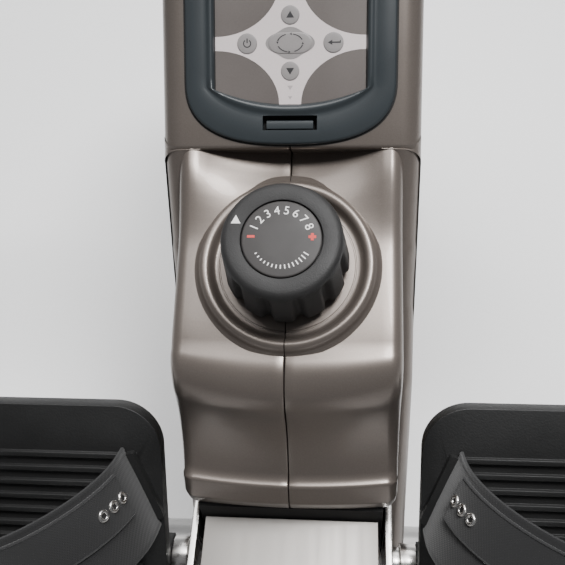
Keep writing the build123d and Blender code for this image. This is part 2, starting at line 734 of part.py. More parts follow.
def strap_run():
    """The strap inside: straight from the wound coil to the guide roller, then over its top."""
    span = sqrt((guide_y - drum_y) ** 2 + (guide_z - drum_z) ** 2)
    start_r = coil_radius + 1.3
    end_r = guide_radius + running_gap + strap_band_thickness / 2
    slope = atan2(guide_z - drum_z, guide_y - drum_y) - asin((start_r + end_r) / span)
    ny, nz = -sin(slope), cos(slope)
    y0, z0 = drum_y + start_r * ny, drum_z + start_r * nz
    y1, z1 = guide_y - end_r * ny, guide_z - end_r * nz
    h = strap_band_thickness / 2
    run = slab(side((y0 + h * ny, z0 + h * nz), (y1 + h * ny, z1 + h * nz),
                    (y1 - h * ny, z1 - h * nz), (y0 - h * ny, z0 - h * nz)), -strap_band / 2, strap_band / 2)
    start = degrees(slope) - 90
    lift = (start + 90) / 2
    points = []
    for r in (end_r - h, end_r + h):
        for angle in (start, lift, 90):
            a = radians(angle)
            points.append((guide_y + r * cos(a), guide_z + r * sin(a)))
    wrap = make_face(ThreePointArc(*points[:3]) + Line(points[2], points[5])
                     + ThreePointArc(*points[3:]) + Line(points[3], points[0]))
    save("strap_inner_run", run + slab(wrap, -strap_band / 2, strap_band / 2))


# ---------------------------------------------------------------- handle and its cradle
def handle_parts():
    half = bar_half_length
    save("handle_bar", ring(-half, half, handle_y, handle_z, bar_radius, bar_radius - 2))
    grips = []
    for hand in (1, -1):
        grip = ring(hand * grip_start, hand * half, handle_y, handle_z, grip_radius, bar_radius)
        grips.append(grip + rod(hand * half, hand * (half + 3), handle_y, handle_z, grip_radius - 1))
    save("handle_grips", *grips)
    strap_low = guide_z + guide_radius + running_gap
    clip = ring(-16, 16, handle_y, handle_z, 17, bar_radius)
    clip += block(-14, 14, handle_y + 15, handle_y + 26, strap_low - 4, strap_low)
    save("handle_clip", clip)
    strap = block(-strap_band / 2, strap_band / 2, handle_y + 18, guide_y, strap_low,
                  strap_low + strap_band_thickness)
    save("pull_strap", strap)
    base = pod_top
    z1 = strap_low + strap_band_thickness + 12
    y0, y1 = handle_y + 30, guide_y + 30
    cradle = block(-26, 26, y0, y1, base, z1)
    cradle -= block(-18, 18, y0 + 3, y1 - 4, base - 1, z1 - 4)
    cradle -= block(-18, 18, y0 - 1, y0 + 4, strap_low - 10, strap_low + strap_band_thickness + 6)
    cradle -= rod(-27, 27, guide_y, guide_z, 4)
    for hand in (1, -1):
        hook = block(hand * 26, hand * 44, handle_y - 14, y1, base + 8, handle_z + bar_radius + 8)
        hook += block(hand * 26, hand * 44, y0, y1, base, base + 10)
        hook -= rod(hand * 25, hand * 45, handle_y, handle_z, bar_radius + running_gap)
        top_low = handle_z - bar_radius - running_gap
        hook -= block(hand * 25, hand * 45, handle_y - 30, handle_y, top_low, handle_z + 60)
        cradle += hook
    save("handle_cradle", cradle)


# ---------------------------------------------------------------- tension cable
def cable_parts():
    route = [(28, 116, 367.6), (30, 140, 352), (33, 178, 343), (34, 222, 332), (35, 258, 300), (36, 292, 262),
             (36, 330, 228), (36, 376, 212), (31, 418, 216), (21.8, 446, 228)]
    radii = []
    for before, here, after in zip(route, route[1:], route[2:]):
        a, b = Vector(*here) - Vector(*before), Vector(*after) - Vector(*here)
        shorter = min(a.length, b.length)
        radii.append(0.45 * shorter / max(0.02, sin(radians(a.get_angle(b) / 2)) / cos(radians(a.get_angle(b) / 2))))
    path = FilletPolyline(*route, radius=radii)
    start = Plane(origin=path @ 0, z_dir=path % 0)
    save("tension_cable", sweep(start * Circle(2.0), path=path))
    print("cable length", round(path.length, 1), "smallest radius", round(min(radii), 1))


rail_parts()
seat_parts()
foot_parts(1, "right", foot_angle_right)
foot_parts(-1, "left", foot_angle_left)
frame_parts()
housing_parts()
console_parts()
knob_parts()
drive_parts()
handle_parts()
cable_parts()
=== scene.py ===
"""A magnetic rowing machine: the looks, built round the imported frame. Metres, +Z up, +Y towards the housing."""
import json
import math

import bmesh
import bpy
from mathutils import Matrix, Vector


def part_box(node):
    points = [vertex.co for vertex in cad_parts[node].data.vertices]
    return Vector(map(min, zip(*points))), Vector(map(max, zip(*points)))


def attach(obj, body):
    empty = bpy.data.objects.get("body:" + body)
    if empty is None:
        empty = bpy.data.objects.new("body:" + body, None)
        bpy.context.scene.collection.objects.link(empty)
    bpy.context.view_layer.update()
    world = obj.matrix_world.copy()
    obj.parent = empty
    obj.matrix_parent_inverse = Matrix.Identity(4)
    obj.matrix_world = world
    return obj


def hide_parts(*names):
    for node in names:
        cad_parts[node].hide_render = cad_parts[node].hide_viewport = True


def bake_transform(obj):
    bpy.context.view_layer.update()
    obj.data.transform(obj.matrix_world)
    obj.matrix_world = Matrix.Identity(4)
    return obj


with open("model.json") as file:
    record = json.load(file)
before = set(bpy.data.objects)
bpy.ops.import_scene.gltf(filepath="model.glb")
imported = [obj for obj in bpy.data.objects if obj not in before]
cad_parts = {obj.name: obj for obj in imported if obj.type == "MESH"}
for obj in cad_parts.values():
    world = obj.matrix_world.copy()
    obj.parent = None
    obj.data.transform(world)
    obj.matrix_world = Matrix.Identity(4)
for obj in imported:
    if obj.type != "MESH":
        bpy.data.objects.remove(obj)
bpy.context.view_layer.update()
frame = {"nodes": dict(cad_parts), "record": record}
MM = 0.001
RAIL_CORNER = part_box("slide_rail")[1]
FRONT = RAIL_CORNER[1]
RAIL_TOP = RAIL_CORNER[2] / MM
SIDES = ((1, "right"), (-1, "left"))


def at(x, y, z):
    """A point of the machine, in millimetres: y from the rail's front edge, z from the floor."""
    return Vector((x * MM, FRONT + y * MM, z * MM))


def joint_at(name):
    """Where a joint sits, as (x, y, z) in the machine's millimetres."""
    x, y, z = next(j["pos_m"] for j in frame["record"]["behaviour"]["joints"] if j["name"] == name)
    return x / MM, (y - FRONT) / MM, z / MM


class Slope:
    """A plane across the machine: u to the right, v up the slope, w out of it, in millimetres."""

    def __init__(self, y, z, slope):
        a = math.radians(slope)
        self.origin = (y, z)
        self.c, self.s = math.cos(a), math.sin(a)

    def __call__(self, u, v, w=0.0):
        y = self.origin[0] + v * self.c - w * self.s
        z = self.origin[1] + v * self.s + w * self.c
        return at(u, y, z)


# the console's face, the tray under it, and the foot plates
CONSOLE = Slope(156.0, RAIL_TOP + 146.0, 40.0)
RECESS = Slope(98.0, RAIL_TOP + 117.0, 16.2)
FOOT = {1: Slope(-13.0, RAIL_TOP - 40.0, 45.0), -1: Slope(-13.0, RAIL_TOP - 40.0, 48.0)}


# ------------------------------------------------------------------ colours and materials
def linear(r, g, b):
    """An sRGB colour of 0 to 255 as the shader takes it."""
    def one(c):
        c /= 255.0
        return c / 12.92 if c <= 0.04045 else ((c + 0.055) / 1.055) ** 2.4
    return (one(r), one(g), one(b), 1.0)


def scaled(colour, k):
    """A colour k times as bright."""
    return (min(1, colour[0] * k), min(1, colour[1] * k), min(1, colour[2] * k), 1.0)


def shader_node(mat, kind, values):
    """A new node of a material, with the given input values."""
    node = mat.node_tree.nodes.new("ShaderNode" + kind)
    for socket, value in values.items():
        node.inputs[socket].default_value = value
    return node


def surface(name, colour, rough, metal=0.0, vary=0.12, fine=900.0, coarse=14.0, bump=0.15, bump_depth=0.0002,
            rough_vary=0.08, stretch=(1, 1, 1), coat=0.0, sheen=0.0):
    """A material with colour clouds, a fine grain that also bumps, and uneven roughness."""
    mat = bpy.data.materials.new(name)
    mat.use_nodes = True
    links = mat.node_tree.links
    shader = mat.node_tree.nodes["Principled BSDF"]
    for socket, value in (("Metallic", metal), ("Coat Weight", coat), ("Sheen Weight", sheen)):
        shader.inputs[socket].default_value = value
    where = shader_node(mat, "TexCoord", {})
    scale = shader_node(mat, "Mapping", {"Scale": stretch})
    links.new(where.outputs["Object"], scale.inputs["Vector"])
    grain = shader_node(mat, "TexNoise", {"Scale": fine, "Detail": 3.0})
    cloud = shader_node(mat, "TexNoise", {"Scale": coarse, "Detail": 4.0})
    for noise in (grain, cloud):
        links.new(scale.outputs["Vector"], noise.inputs["Vector"])
    mixed = shader_node(mat, "Math", {})
    mixed.operation = "ADD"
    links.new(grain.outputs["Fac"], mixed.inputs[0])
    links.new(cloud.outputs["Fac"], mixed.inputs[1])
    ramp = shader_node(mat, "MapRange", {"From Min": 0.7, "From Max": 1.3})
    links.new(mixed.outputs[0], ramp.inputs["Value"])
    paint = shader_node(mat, "Mix", {})
    paint.data_type = "RGBA"
    paint.inputs["A"].default_value = scaled(colour, 1 - vary)
    paint.inputs["B"].default_value = scaled(colour, 1 + vary)
    links.new(ramp.outputs[0], paint.inputs["Factor"])
    links.new(paint.outputs["Result"], shader.inputs["Base Color"])
    shine = shader_node(mat, "MapRange", {"From Min": 0.3, "From Max": 0.7, "To Min": rough - rough_vary,
                                          "To Max": rough + rough_vary})
    links.new(cloud.outputs["Fac"], shine.inputs["Value"])
    links.new(shine.outputs[0], shader.inputs["Roughness"])
    relief = shader_node(mat, "Bump", {"Strength": bump, "Distance": bump_depth})
    links.new(grain.outputs["Fac"], relief.inputs["Height"])
    links.new(relief.outputs[0], shader.inputs["Normal"])
    return mat


def woven(name, colour, pitch, rough=0.85):
    """Webbing: two crossed waves, a pitch apart, make the weave's bump."""
    mat = surface(name, colour, rough, vary=0.2, fine=1500, bump=0.3, sheen=0.25)
    links = mat.node_tree.links
    where = shader_node(mat, "TexCoord", {})
    both = shader_node(mat, "Math", {})
    both.operation = "MULTIPLY"
    for n, direction in enumerate(("X", "Y")):
        wave = shader_node(mat, "TexWave", {"Scale": 0.314 / pitch, "Distortion": 0.4})
        wave.bands_direction = direction
        links.new(where.outputs["Object"], wave.inputs["Vector"])
        links.new(wave.outputs["Fac"], both.inputs[n])
    relief = shader_node(mat, "Bump", {"Strength": 0.35, "Distance": 0.0003})
    links.new(both.outputs[0], relief.inputs["Height"])
    links.new(relief.outputs[0], mat.node_tree.nodes["Principled BSDF"].inputs["Normal"])
    return mat


MAT = {
    "housing_paint": surface("pewter_paint", linear(112, 104, 98), 0.35, 0.6, 0.10, 1400, 9, 0.05, 0.0001,
                             0.05, coat=0.1),
    "slate_plastic": surface("slate_plastic", linear(42, 47, 50), 0.34, 0.0, 0.08, 1600, 12, 0.08, 0.0001, 0.06),
    "overlay_print": surface("overlay_print", linear(92, 86, 83), 0.42, 0.2, 0.06, 1200, 20, 0.03, 0.0001),
    "star_print": surface("star_print", linear(200, 190, 189), 0.5, 0.0, 0.03, 1200, 20, 0.03, 0.0001),
    "key_print": surface("key_print", linear(128, 124, 123), 0.5, 0.0, 0.05, 1200, 20, 0.05, 0.0001),
    "ink": surface("ink", linear(28, 27, 29), 0.5, 0.0, 0.1, 1200, 20, 0.03, 0.0001),
    "grey_ink": surface("grey_ink", linear(160, 152, 152), 0.5, 0.0, 0.05, 1200, 20, 0.03, 0.0001),
    "white_ink": surface("white_ink", linear(226, 224, 222), 0.55, 0.0, 0.04, 1200, 20, 0.03, 0.0001),
    "red_ink": surface("red_ink", linear(196, 44, 36), 0.55, 0.0, 0.06, 1200, 20, 0.03, 0.0001),
    "display_glass": surface("display_panel", linear(120, 132, 112), 0.18, 0.0, 0.04, 600, 30, 0.02, 0.0001, 0.03,
                             coat=0.6),
    "black_plastic": surface("black_plastic", linear(40, 39, 40), 0.5, 0.0, 0.25, 1100, 25, 0.35, 0.0002),
    "knob_plastic": surface("knob_plastic", linear(25, 24, 24), 0.64, 0.0, 0.3, 1700, 30, 0.55, 0.0003),
    "dial_plastic": surface("dial_plastic", linear(42, 39, 38), 0.62, 0.0, 0.08, 1500, 30, 0.08, 0.0001),
    "black_rubber": surface("black_rubber", linear(30, 30, 30), 0.7, 0.0, 0.3, 800, 18, 0.4, 0.0002),
    "foot_plastic": surface("foot_plastic", linear(19, 19, 19), 0.55, 0.0, 0.3, 900, 20, 0.45, 0.0003),
    "button_plastic": surface("button_plastic", linear(152, 147, 146), 0.5, 0.0, 0.05, 1200, 20, 0.05, 0.0001),
    "frame_paint": surface("frame_paint", linear(176, 175, 174), 0.34, 0.55, 0.07, 1000, 10, 0.08, 0.0001, 0.06,
                           coat=0.15),
    "bright_steel": surface("bright_steel", linear(205, 203, 200), 0.26, 1.0, 0.10, 500, 16, 0.06, 0.0001, 0.08,
                            stretch=(1, 12, 1)),
    "anodised_aluminium": surface("anodised_aluminium", linear(146, 142, 138), 0.42, 0.55, 0.05, 420, 7, 0.06,
                                  0.0001, 0.06, stretch=(30, 1, 30)),
    "cast_iron": surface("cast_iron", linear(96, 95, 94), 0.45, 0.9, 0.2, 300, 20, 0.3, 0.0002),
    "belt_rubber": surface("belt_rubber", linear(28, 28, 28), 0.7, 0.0, 0.2, 900, 20, 0.3, 0.0002),
    "webbing": woven("webbing", linear(17, 17, 18), 0.0011),
    "grip_foam": surface("grip_foam", linear(34, 34, 35), 0.88, 0.0, 0.4, 650, 30, 0.8, 0.0006, sheen=0.2),
    "seat_vinyl": surface("seat_vinyl", linear(36, 36, 38), 0.48, 0.0, 0.25, 420, 12, 0.6, 0.0005, 0.08),
    "seat_board_wood": surface("seat_board", linear(58, 52, 46), 0.6, 0.0, 0.3, 200, 10, 0.3, 0.0003,
                               stretch=(1, 8, 1)),
    "board_green": surface("board_green", linear(30, 96, 58), 0.4, 0.0, 0.15),
    "battery_case": surface("battery_case", linear(60, 60, 66), 0.3, 0.4, 0.15),
    # near black: the display's surround and the bezel's joint, and painted shade in the housing's mouth, the latch
    # slot's floor and the eyelets' holes
    "black_and_painted_shade": surface("black_and_painted_shade", linear(14, 13, 13), 0.8, 0.0, 0.3),
    "stitch": surface("stitch", linear(70, 70, 72), 0.8, 0.0, 0.2),
}
LOOK = {"foot_plate_left": "foot_plastic", "foot_plate_right": "foot_plastic"}
for entry in frame["record"]["subparts"]:
    node, key = entry["node"], entry["material_slot"]
    mat = MAT[LOOK.get(node, key)]
    obj = frame["nodes"][node]
    if not obj.material_slots:
        obj.data.materials.append(mat)
    for place in obj.material_slots:
        place.material = mat
SLOT_OF = {entry["node"]: entry["material_slot"] for entry in frame["record"]["subparts"]}


# ------------------------------------------------------------------ mesh helpers
def body_of_node(node):
    """The body that a CAD node rides on."""
    return next(b for b, nodes in frame["record"]["behaviour"]["bodies"].items() if node in nodes)


def linked(name, data):
    """A new object of the scene."""
    obj = bpy.data.objects.new(name, data)
    bpy.context.scene.collection.objects.link(obj)
    return obj


def mesh_from(name, bm, material=None):
    """A bmesh turned into a mesh with one material."""
    mesh = bpy.data.meshes.new(name)
    bm.to_mesh(mesh)
    bm.free()
    if material:
        mesh.materials.append(material)
    return mesh


def finish_mesh(obj, sharp=40.0):
    """Smooth shading, broken at edges of more than the given degrees."""
    mesh = obj.data
    mesh.shade_smooth()
    mesh.set_sharp_from_angle(angle=math.radians(sharp))


def add(name, bm, material, body, sharp=40.0, stands_for=()):
    """A bmesh as a piece of the machine, riding on its body."""
    bmesh.ops.recalc_face_normals(bm, faces=bm.faces)
    obj = linked(name, mesh_from(name, bm, MAT[material]))
    finish_mesh(obj, sharp)
    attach(obj, body)
    if stands_for:
        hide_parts(*stands_for)
    return obj


def applied(obj, *modifiers):
    """Bake the piece's modifiers, and the given ones after them, into a fresh mesh."""
    for kind, values in modifiers:
        mod = obj.modifiers.new(kind.lower(), kind)
        for key, value in values.items():
            setattr(mod, key, value)
    graph = bpy.context.evaluated_depsgraph_get()
    mesh = bpy.data.meshes.new_from_object(obj.evaluated_get(graph))
    obj.modifiers.clear()
    old = obj.data
    obj.data = mesh
    bpy.data.meshes.remove(old)
    return obj


def refine(node, width):
    """A copy of a CAD node with its edges rounded to a width in metres, in the node's place."""
    source = frame["nodes"][node]
    bm = bmesh.new()
    bm.from_mesh(source.data)
    bmesh.ops.transform(bm, matrix=source.matrix_world, verts=bm.verts)
    bmesh.ops.remove_doubles(bm, verts=bm.verts, dist=1e-6)
    bmesh.ops.dissolve_limit(bm, angle_limit=math.radians(1.0), verts=bm.verts, edges=bm.edges)
    slot = SLOT_OF[node]
    obj = add(node + "_piece", bm, LOOK.get(node, slot), body_of_node(node), stands_for=(node,))
    applied(obj, ("BEVEL", {"width": width, "segments": 2, "limit_method": "ANGLE",
                            "angle_limit": math.radians(32.0), "use_clamp_overlap": True,
                            "harden_normals": False}))
    finish_mesh(obj)


def rings(bm, loops, close_ring=True, cap_ends=False):
    """Faces between successive loops of points; each loop has the same number of points."""
    made = [[bm.verts.new(p) for p in loop] for loop in loops]
    count = len(made[0])
    for low, high in zip(made, made[1:]):
        for n in range(count if close_ring else count - 1):
            m = (n + 1) % count
            bm.faces.new((low[n], low[m], high[m], high[n]))
    if cap_ends:
        bm.faces.new(list(reversed(made[0])))
        bm.faces.new(made[-1])
    return made


def prism(bm, place, points, w0, w1):
    """A flat shape of (u, v) points, from height w0 to w1 on a sloping plane."""
    rings(bm, [[place(p[0], p[1], w) for p in points] for w in (w0, w1)], cap_ends=True)


def circle(steps):
    """Cosine and sine of equal steps round a full turn."""
    for n in range(steps):
        a = 2 * math.pi * n / steps
        yield math.cos(a), math.sin(a)


def lathe(bm, place, profile, steps=96, shape=None):
    """Turn a profile of (radius, height) round a sloping plane's own normal. place(u, v, w) gives points."""
    loops = []
    for r, w in profile:
        loop = []
        for n in range(steps):
            a = 2 * math.pi * n / steps
            radius = shape(r, w, a) if shape else r
            loop.append(place(radius * math.cos(a), radius * math.sin(a), w))
        loops.append(loop)
    rings(bm, loops)


def across(bm, y, z, profile, steps=64):
    """Turn a profile of (x, radius) round an axis across the machine at (y, z)."""
    rings(bm, [[at(x, y + r * c, z + r * s) for c, s in circle(steps)] for x, r in profile])


def rounded_outline(points, steps=8):
    """A closed outline with each corner (a, b, radius) turned into an arc."""
    out = []
    count = len(points)
    for n in range(count):
        before, here, after = (Vector(points[(n + k) % count][:2]) for k in (-1, 0, 1))
        radius = points[n][2]
        one, two = (before - here).normalized(), (after - here).normalized()
        half = one.angle(two) / 2
        if radius < 0.05 or half > math.radians(89):
            out.append(here)
            continue
        reach = min(radius / math.tan(half), 0.49 * (before - here).length, 0.49 * (after - here).length)
        radius = reach * math.tan(half)
        centre = here + (one + two).normalized() * (radius / math.sin(half))
        start, end = here + one * reach - centre, here + two * reach - centre
        turn = start.angle_signed(end)
        for k in range(steps + 1):
            out.append(centre + Matrix.Rotation(-turn * k / steps, 2) @ start)
    return out


def arc(a, b, c, steps):
    """Points of the arc from a through b to c, without a."""
    a, b, c = Vector(a), Vector(b), Vector(c)
    d = 2 * (a.x * (b.y - c.y) + b.x * (c.y - a.y) + c.x * (a.y - b.y))
    ux = (a.length_squared * (b.y - c.y) + b.length_squared * (c.y - a.y) + c.length_squared * (a.y - b.y)) / d
    uy = (a.length_squared * (c.x - b.x) + b.length_squared * (a.x - c.x) + c.length_squared * (b.x - a.x)) / d
    centre = Vector((ux, uy))
    start, end, mid = a - centre, c - centre, b - centre
    turn = start.angle_signed(end)
    if start.angle_signed(mid) * turn < 0:
        turn -= math.copysign(2 * math.pi, turn)
    return [centre + Matrix.Rotation(-turn * k / steps, 2) @ start for k in range(1, steps + 1)]


def spread(points, longest):
    """Points added along the long sides of a closed outline."""
    out = []
    for a, b in zip(points, points[1:] + points[:1]):
        parts = max(1, math.ceil((b - a).length / longest))
        out += [a.lerp(b, k / parts) for k in range(parts)]
    return out


def inset(points, depth):
    """Each point of a closed outline moved inwards along the mean of its two sides' normals."""
    area = sum(a.x * b.y - b.x * a.y for a, b in zip(points, points[1:] + points[:1]))
    way = 1.0 if area > 0 else -1.0
    out = []
    count = len(points)
    for n in range(count):
        side = (points[(n + 1) % count] - points[n - 1]).normalized()
        out.append(points[n] + way * depth * Vector((-side.y, side.x)))
    return out


def half_shell(bm, hand, outline, half_width, radius, warp=None):
    """Half of a side-view outline's body, from the middle seam out to its rounded flank."""
    stations = [(SEAM_HALF, 0.6), (0.42, 0.15), (0.8, 0.0)]
    flat = half_width - radius
    stations += [(1.0 + (flat - 1.0) * k / 12, 0.0) for k in range(1, 13)]
    for k in range(1, 9):
        a = math.pi / 2 * k / 8
        stations.append((flat + radius * math.sin(a), radius * (1 - math.cos(a))))
    loops = []
    for x, depth in stations:
        loop = [warp(x, p) for p in outline] if warp else outline
        loop = inset(loop, depth) if depth else loop
        loops.append([at(hand * x, p.x, p.y) for p in loop])
    rings(bm, loops, cap_ends=True)


# ------------------------------------------------------------------ housing
SEAM_HALF = 0.26                        # half the gap between the two halves
POD_HALF, POD_EDGE = 70.0, 12.0         # half width and edge radius of the housing
TRAY_HALF, TRAY_EDGE = 60.0, 7.0        # the same of the tray under the console
# half width of the near-black sheet of painted shade in the housing's mouth
SHADE_SHEET_HALF = 52.5
NOTCH_LOW, NOTCH_HIGH = (105, 72), (154.3, 144.6)   # the hollow behind the tray: y, and height over the rail


def pod_outline():
    """The housing's side view, with the step where the console begins."""
    t = RAIL_TOP
    corners = [(470, t - 100, 0), (4, t - 100, 6), (1, t - 79, 6), (67, t + 38, 26), (104, t + 69, 14),
               (122, t + 99, 24), (166, t + 127, 6), (154.3, t + 144.6, 2.5), (271, t + 242.5, 30), (288, t + 256, 8),
               (300, t + 262, 14), (352, t + 262, 0)]
    points = rounded_outline(corners, 7)
    nose = arc((352, t + 262), (470, t + 188), (522, t + 40), 26)
    chin = arc((522, t + 40), (514, t - 50), (470, t - 100), 16)[:-1]
    return spread(points + nose + chin, 14.0)


def pod_warp(x, p):
    """The hollow behind the tray fades out towards the flanks, which run straight up to the console's edge."""
    low, high = (Vector((y, RAIL_TOP + z)) for y, z in (NOTCH_LOW, NOTCH_HIGH))
    along = (high - low).normalized()
    deep = Vector((along.y, -along.x))
    reach, depth = (p - low).dot(along), (p - low).dot(deep)
    if depth > 0 and -6 < reach < (high - low).length and depth < 45:
        return p - deep * depth * eased((abs(x) - 46.0) / 9.0)
    return p


def tray_line(v):
    """A point of the tray's middle line in the side view, v up the slope from the knob's axis."""
    return (RECESS.origin[0] + v * RECESS.c, RECESS.origin[1] + v * RECESS.s)


def tray_outline():
    """The side view of the tray, its crease, scoop and lip."""
    t = RAIL_TOP
    top = tray_line(76)
    brow = tray_line(-46)
    roll = arc(brow, (35.5, t + 95.5), (29.6, t + 79), 12)
    scoop = arc((29.6, t + 79), (23.4, t + 55), (11.5, t + 35.2), 14)
    corners = [(10, t + 8, 2), (165, t + 8, 0), (top[0], top[1], 0), (brow[0], brow[1], 0)]
    corners += [(p.x, p.y, 0) for p in roll + scoop]
    corners += [(7.0, t + 35.0, 2.4), (1.6, t + 23, 4), (2.2, t + 13, 4)]
    return spread(rounded_outline(corners, 6), 6.0)


def eased(t):
    """A smooth step from 0 to 1."""
    t = min(1.0, max(0.0, t))
    return t * t * (3 - 2 * t)


def tray_warp(x, p):
    """The tray's front bows out in the middle, and its back rises at both sides to meet the console's edge."""
    high = min(1.0, max(0.0, (p.y - RAIL_TOP - 20.0) / 70.0))
    bow = (3.0 + 6.0 * high) * eased((70.0 - p.x) / 45.0)
    side = min(1.0, abs(x) / 52.0) ** 2
    rise = (10.8 * side * eased((p.x - 108.0) / 42.0) - 3.5 * (1 - side) * eased((p.x - 132.0) / 22.0)
            ) * eased((p.y - RAIL_TOP - 60.0) / 40.0)
    return Vector((p.x + bow * (x / TRAY_HALF) ** 2, p.y + rise))


def ring_profile():
    """The raised ring round the knob: (radius, height over the tray), from outside in."""
    return [(52, -2.0), (49.8, -0.3), (48.6, 0.3), (47.6, 1.2), (46.8, 2.6), (46.0, 4.3), (44.9, 5.6), (43.4, 6.1),
            (41.8, 5.8), (40.6, 4.9), (39.9, 3.4), (39.3, 2.0), (38.4, 1.2), (37.4, 0.9), (36.2, 0.9), (35.9, 0.5),
            (35.4, 0.5), (35.1, 0.9), (12.0, 0.9)]


def cut(piece, name, loops):
    """Take a closed prism, given as two loops of points, out of a piece."""
    bm = bmesh.new()
    rings(bm, loops, cap_ends=True)
    bmesh.ops.recalc_face_normals(bm, faces=bm.faces)
    mesh = mesh_from(name, bm)
    tool = linked(name, mesh)
    applied(piece, ("BOOLEAN", {"operation": "DIFFERENCE", "object": tool, "solver": "EXACT"}))
    bpy.data.objects.remove(tool)
    bpy.data.meshes.remove(mesh)
    finish_mesh(piece)


def housing():
    """Both halves: the shell with the console's pocket, and the skin with the tray and its ring."""
    pocket = [[CONSOLE(u, v, w) for u, v in bezel_outline(-1.2)] for w in (-26.0, 12.0)]
    for hand, side in SIDES:
        bm = bmesh.new()
        half_shell(bm, hand, pod_outline(), POD_HALF, POD_EDGE, pod_warp)
        shell = add(f"housing_shell_{side}", bm, "housing_paint", "base", 50.0)
        cut(shell, "console_pocket", pocket)
        bm = bmesh.new()
        half_shell(bm, hand, tray_outline(), TRAY_HALF, TRAY_EDGE, tray_warp)
        steps = 72
        loops = []
        for r, w in ring_profile():
            loop = []
            for n in range(steps + 1):
                a = math.pi * n / steps - math.pi / 2
                loop.append(RECESS(hand * max(SEAM_HALF, r * math.cos(a)), r * math.sin(a), w))
            loops.append(loop)
        rings(bm, loops, close_ring=False)
        add(f"housing_skin_{side}", bm, "housing_paint", "base", 50.0, (f"housing_{side}",))


def flank_rings():
    """Two shallow ribs round the flywheel's axis on each side of the housing."""
    section = ((-0.5, -1.0), (0.3, -0.7), (0.9, -0.3), (1.0, 0.0), (0.9, 0.3), (0.3, 0.7), (-0.5, 1.0))
    _, y, z = joint_at("flywheel_spin")
    for hand, side in SIDES:
        bm = bmesh.new()
        for radius, half in ((103, 4.0), (52, 2.5)):
            across(bm, y, z, [(hand * (POD_HALF + out), radius + half * k) for out, k in section], 128)
        add(f"housing_rings_{side}", bm, "housing_paint", "base", 60.0)


def mouth_shade_sheet():
    """A near-black sheet of painted shade for the shadowed hollow seen between the housing's lip and the rail."""
    t = RAIL_TOP
    bm = bmesh.new()
    rings(bm, [[at(x, y, z) for y, z in ((-0.5, t - 78), (66, t + 39), (60, t + 39), (2.5, t + 12), (-4, t - 40))]
               for x in (-SHADE_SHEET_HALF, SHADE_SHEET_HALF)], cap_ends=True)
    add("mouth_shade_sheet", bm, "black_and_painted_shade", "base")


def plate_piece(name, points, place, w0, w1, material, body, stands_for=()):
    """A flat shape of (u, v) points, from height w0 to w1 on a sloping plane."""
    bm = bmesh.new()
    prism(bm, place, points, w0, w1)
    return add(name, bm, material, body, 40.0, stands_for)


# ------------------------------------------------------------------ console
ROW, COLUMN = 52.7, 22.7                # the middle row of keys, and its outer keys' place
KEYS = {"up_button": (0, 67.0, 4.9), "down_button": (0, 38.4, 4.9), "reset_button": (-COLUMN, ROW, 5.3),
        "enter_button": (COLUMN, ROW, 5.3)}     # u, v and radius


def box_points(u0, v0, u1, v1, radius=None):
    """The corners of an upright box, with a corner radius if one is given."""
    extra = () if radius is None else (radius,)
    return [(u, v) + extra for u, v in ((u0, v0), (u1, v0), (u1, v1), (u0, v1))]


def bezel_outline(grow, steps=40):
    """The console's outer edge: straight sides that round into a bowed lower edge."""
    half, high, low = 55.5 + grow, 150.0 + grow, 34.0
    points = [(half - (2 * half) * n / 12, high) for n in range(13)]
    points += [(-half, high - (high - low) * n / 20) for n in range(1, 20)]
    for n in range(steps + 1):
        a = math.pi + math.pi * n / steps
        u = math.copysign(abs(math.cos(a)) ** (2 / 2.6), math.cos(a)) * half
        points.append((u, low - (low + grow) * abs(math.sin(a)) ** (2 / 2.6)))
    points += [(half, low + (high - low) * n / 20) for n in range(1, 20)]
    return points


def window_outline(grow, steps=40):
    """The opening in the bezel: straight sides and a bowed lower edge."""
    half, high, shoulder, low = 40.0 + grow, 142.0 + grow, 29.0, 21.0 - grow
    points = [(half - (2 * half) * n / 12, high) for n in range(13)]
    points += [(-half, high - (high - shoulder) * n / 20) for n in range(1, 20)]
    for n in range(steps + 1):
        u = -half + 2 * half * n / steps
        points.append((u, low + (shoulder - low) * (u / half) ** 2))
    points += [(half, shoulder + (high - shoulder) * n / 20) for n in range(1, 20)]
    return points


def bezel():
    """The console's frame with the latch's slot, and the dark gap round it."""
    outer, inner = bezel_outline(0), window_outline(0)
    section = [(0.0, -6.0), (0.0, 0.9), (0.02, 1.6), (0.07, 2.0), (0.45, 1.9), (0.62, 1.6), (0.70, 1.3), (0.76, 1.5),
               (0.81, 2.1), (0.87, 2.35), (0.93, 2.0), (0.97, 1.0), (1.0, -0.2), (1.0, -6.0)]
    loops = []
    for t, w in section:
        loops.append([CONSOLE(a[0] + (b[0] - a[0]) * t, a[1] + (b[1] - a[1]) * t, w) for a, b in zip(outer, inner)])
    bm = bmesh.new()
    rings(bm, loops + loops[:1])
    bmesh.ops.remove_doubles(bm, verts=bm.verts, dist=1e-7)
    piece = add("bezel", bm, "slate_plastic", "base", 40.0, ("console_bezel",))
    slot = box_points(-14.4, 7.6, 14.4, 15.2)
    cut(piece, "latch_slot", [[CONSOLE(u, v, w) for u, v in slot] for w in (-4.0, 6.0)])
    gap = bmesh.new()
    a, b = bezel_outline(0.9), bezel_outline(-0.6)
    rings(gap, [[CONSOLE(u, v, 0.12) for u, v in a], [CONSOLE(u, v, 0.3) for u, v in b],
                [CONSOLE(u, v, -1.0) for u, v in b], [CONSOLE(u, v, -1.0) for u, v in a],
                [CONSOLE(u, v, 0.12) for u, v in a]])
    bmesh.ops.remove_doubles(gap, verts=gap.verts, dist=1e-7)
    add("bezel_gap", gap, "black_and_painted_shade", "base")
    # the slot's floor: a near-black plate of painted shade deep in the latch's slot
    plate_piece("latch_slot_floor", box_points(-14.3, 7.7, 14.3, 15.1), CONSOLE, -4.6, -3.9, "black_and_painted_shade", "base")


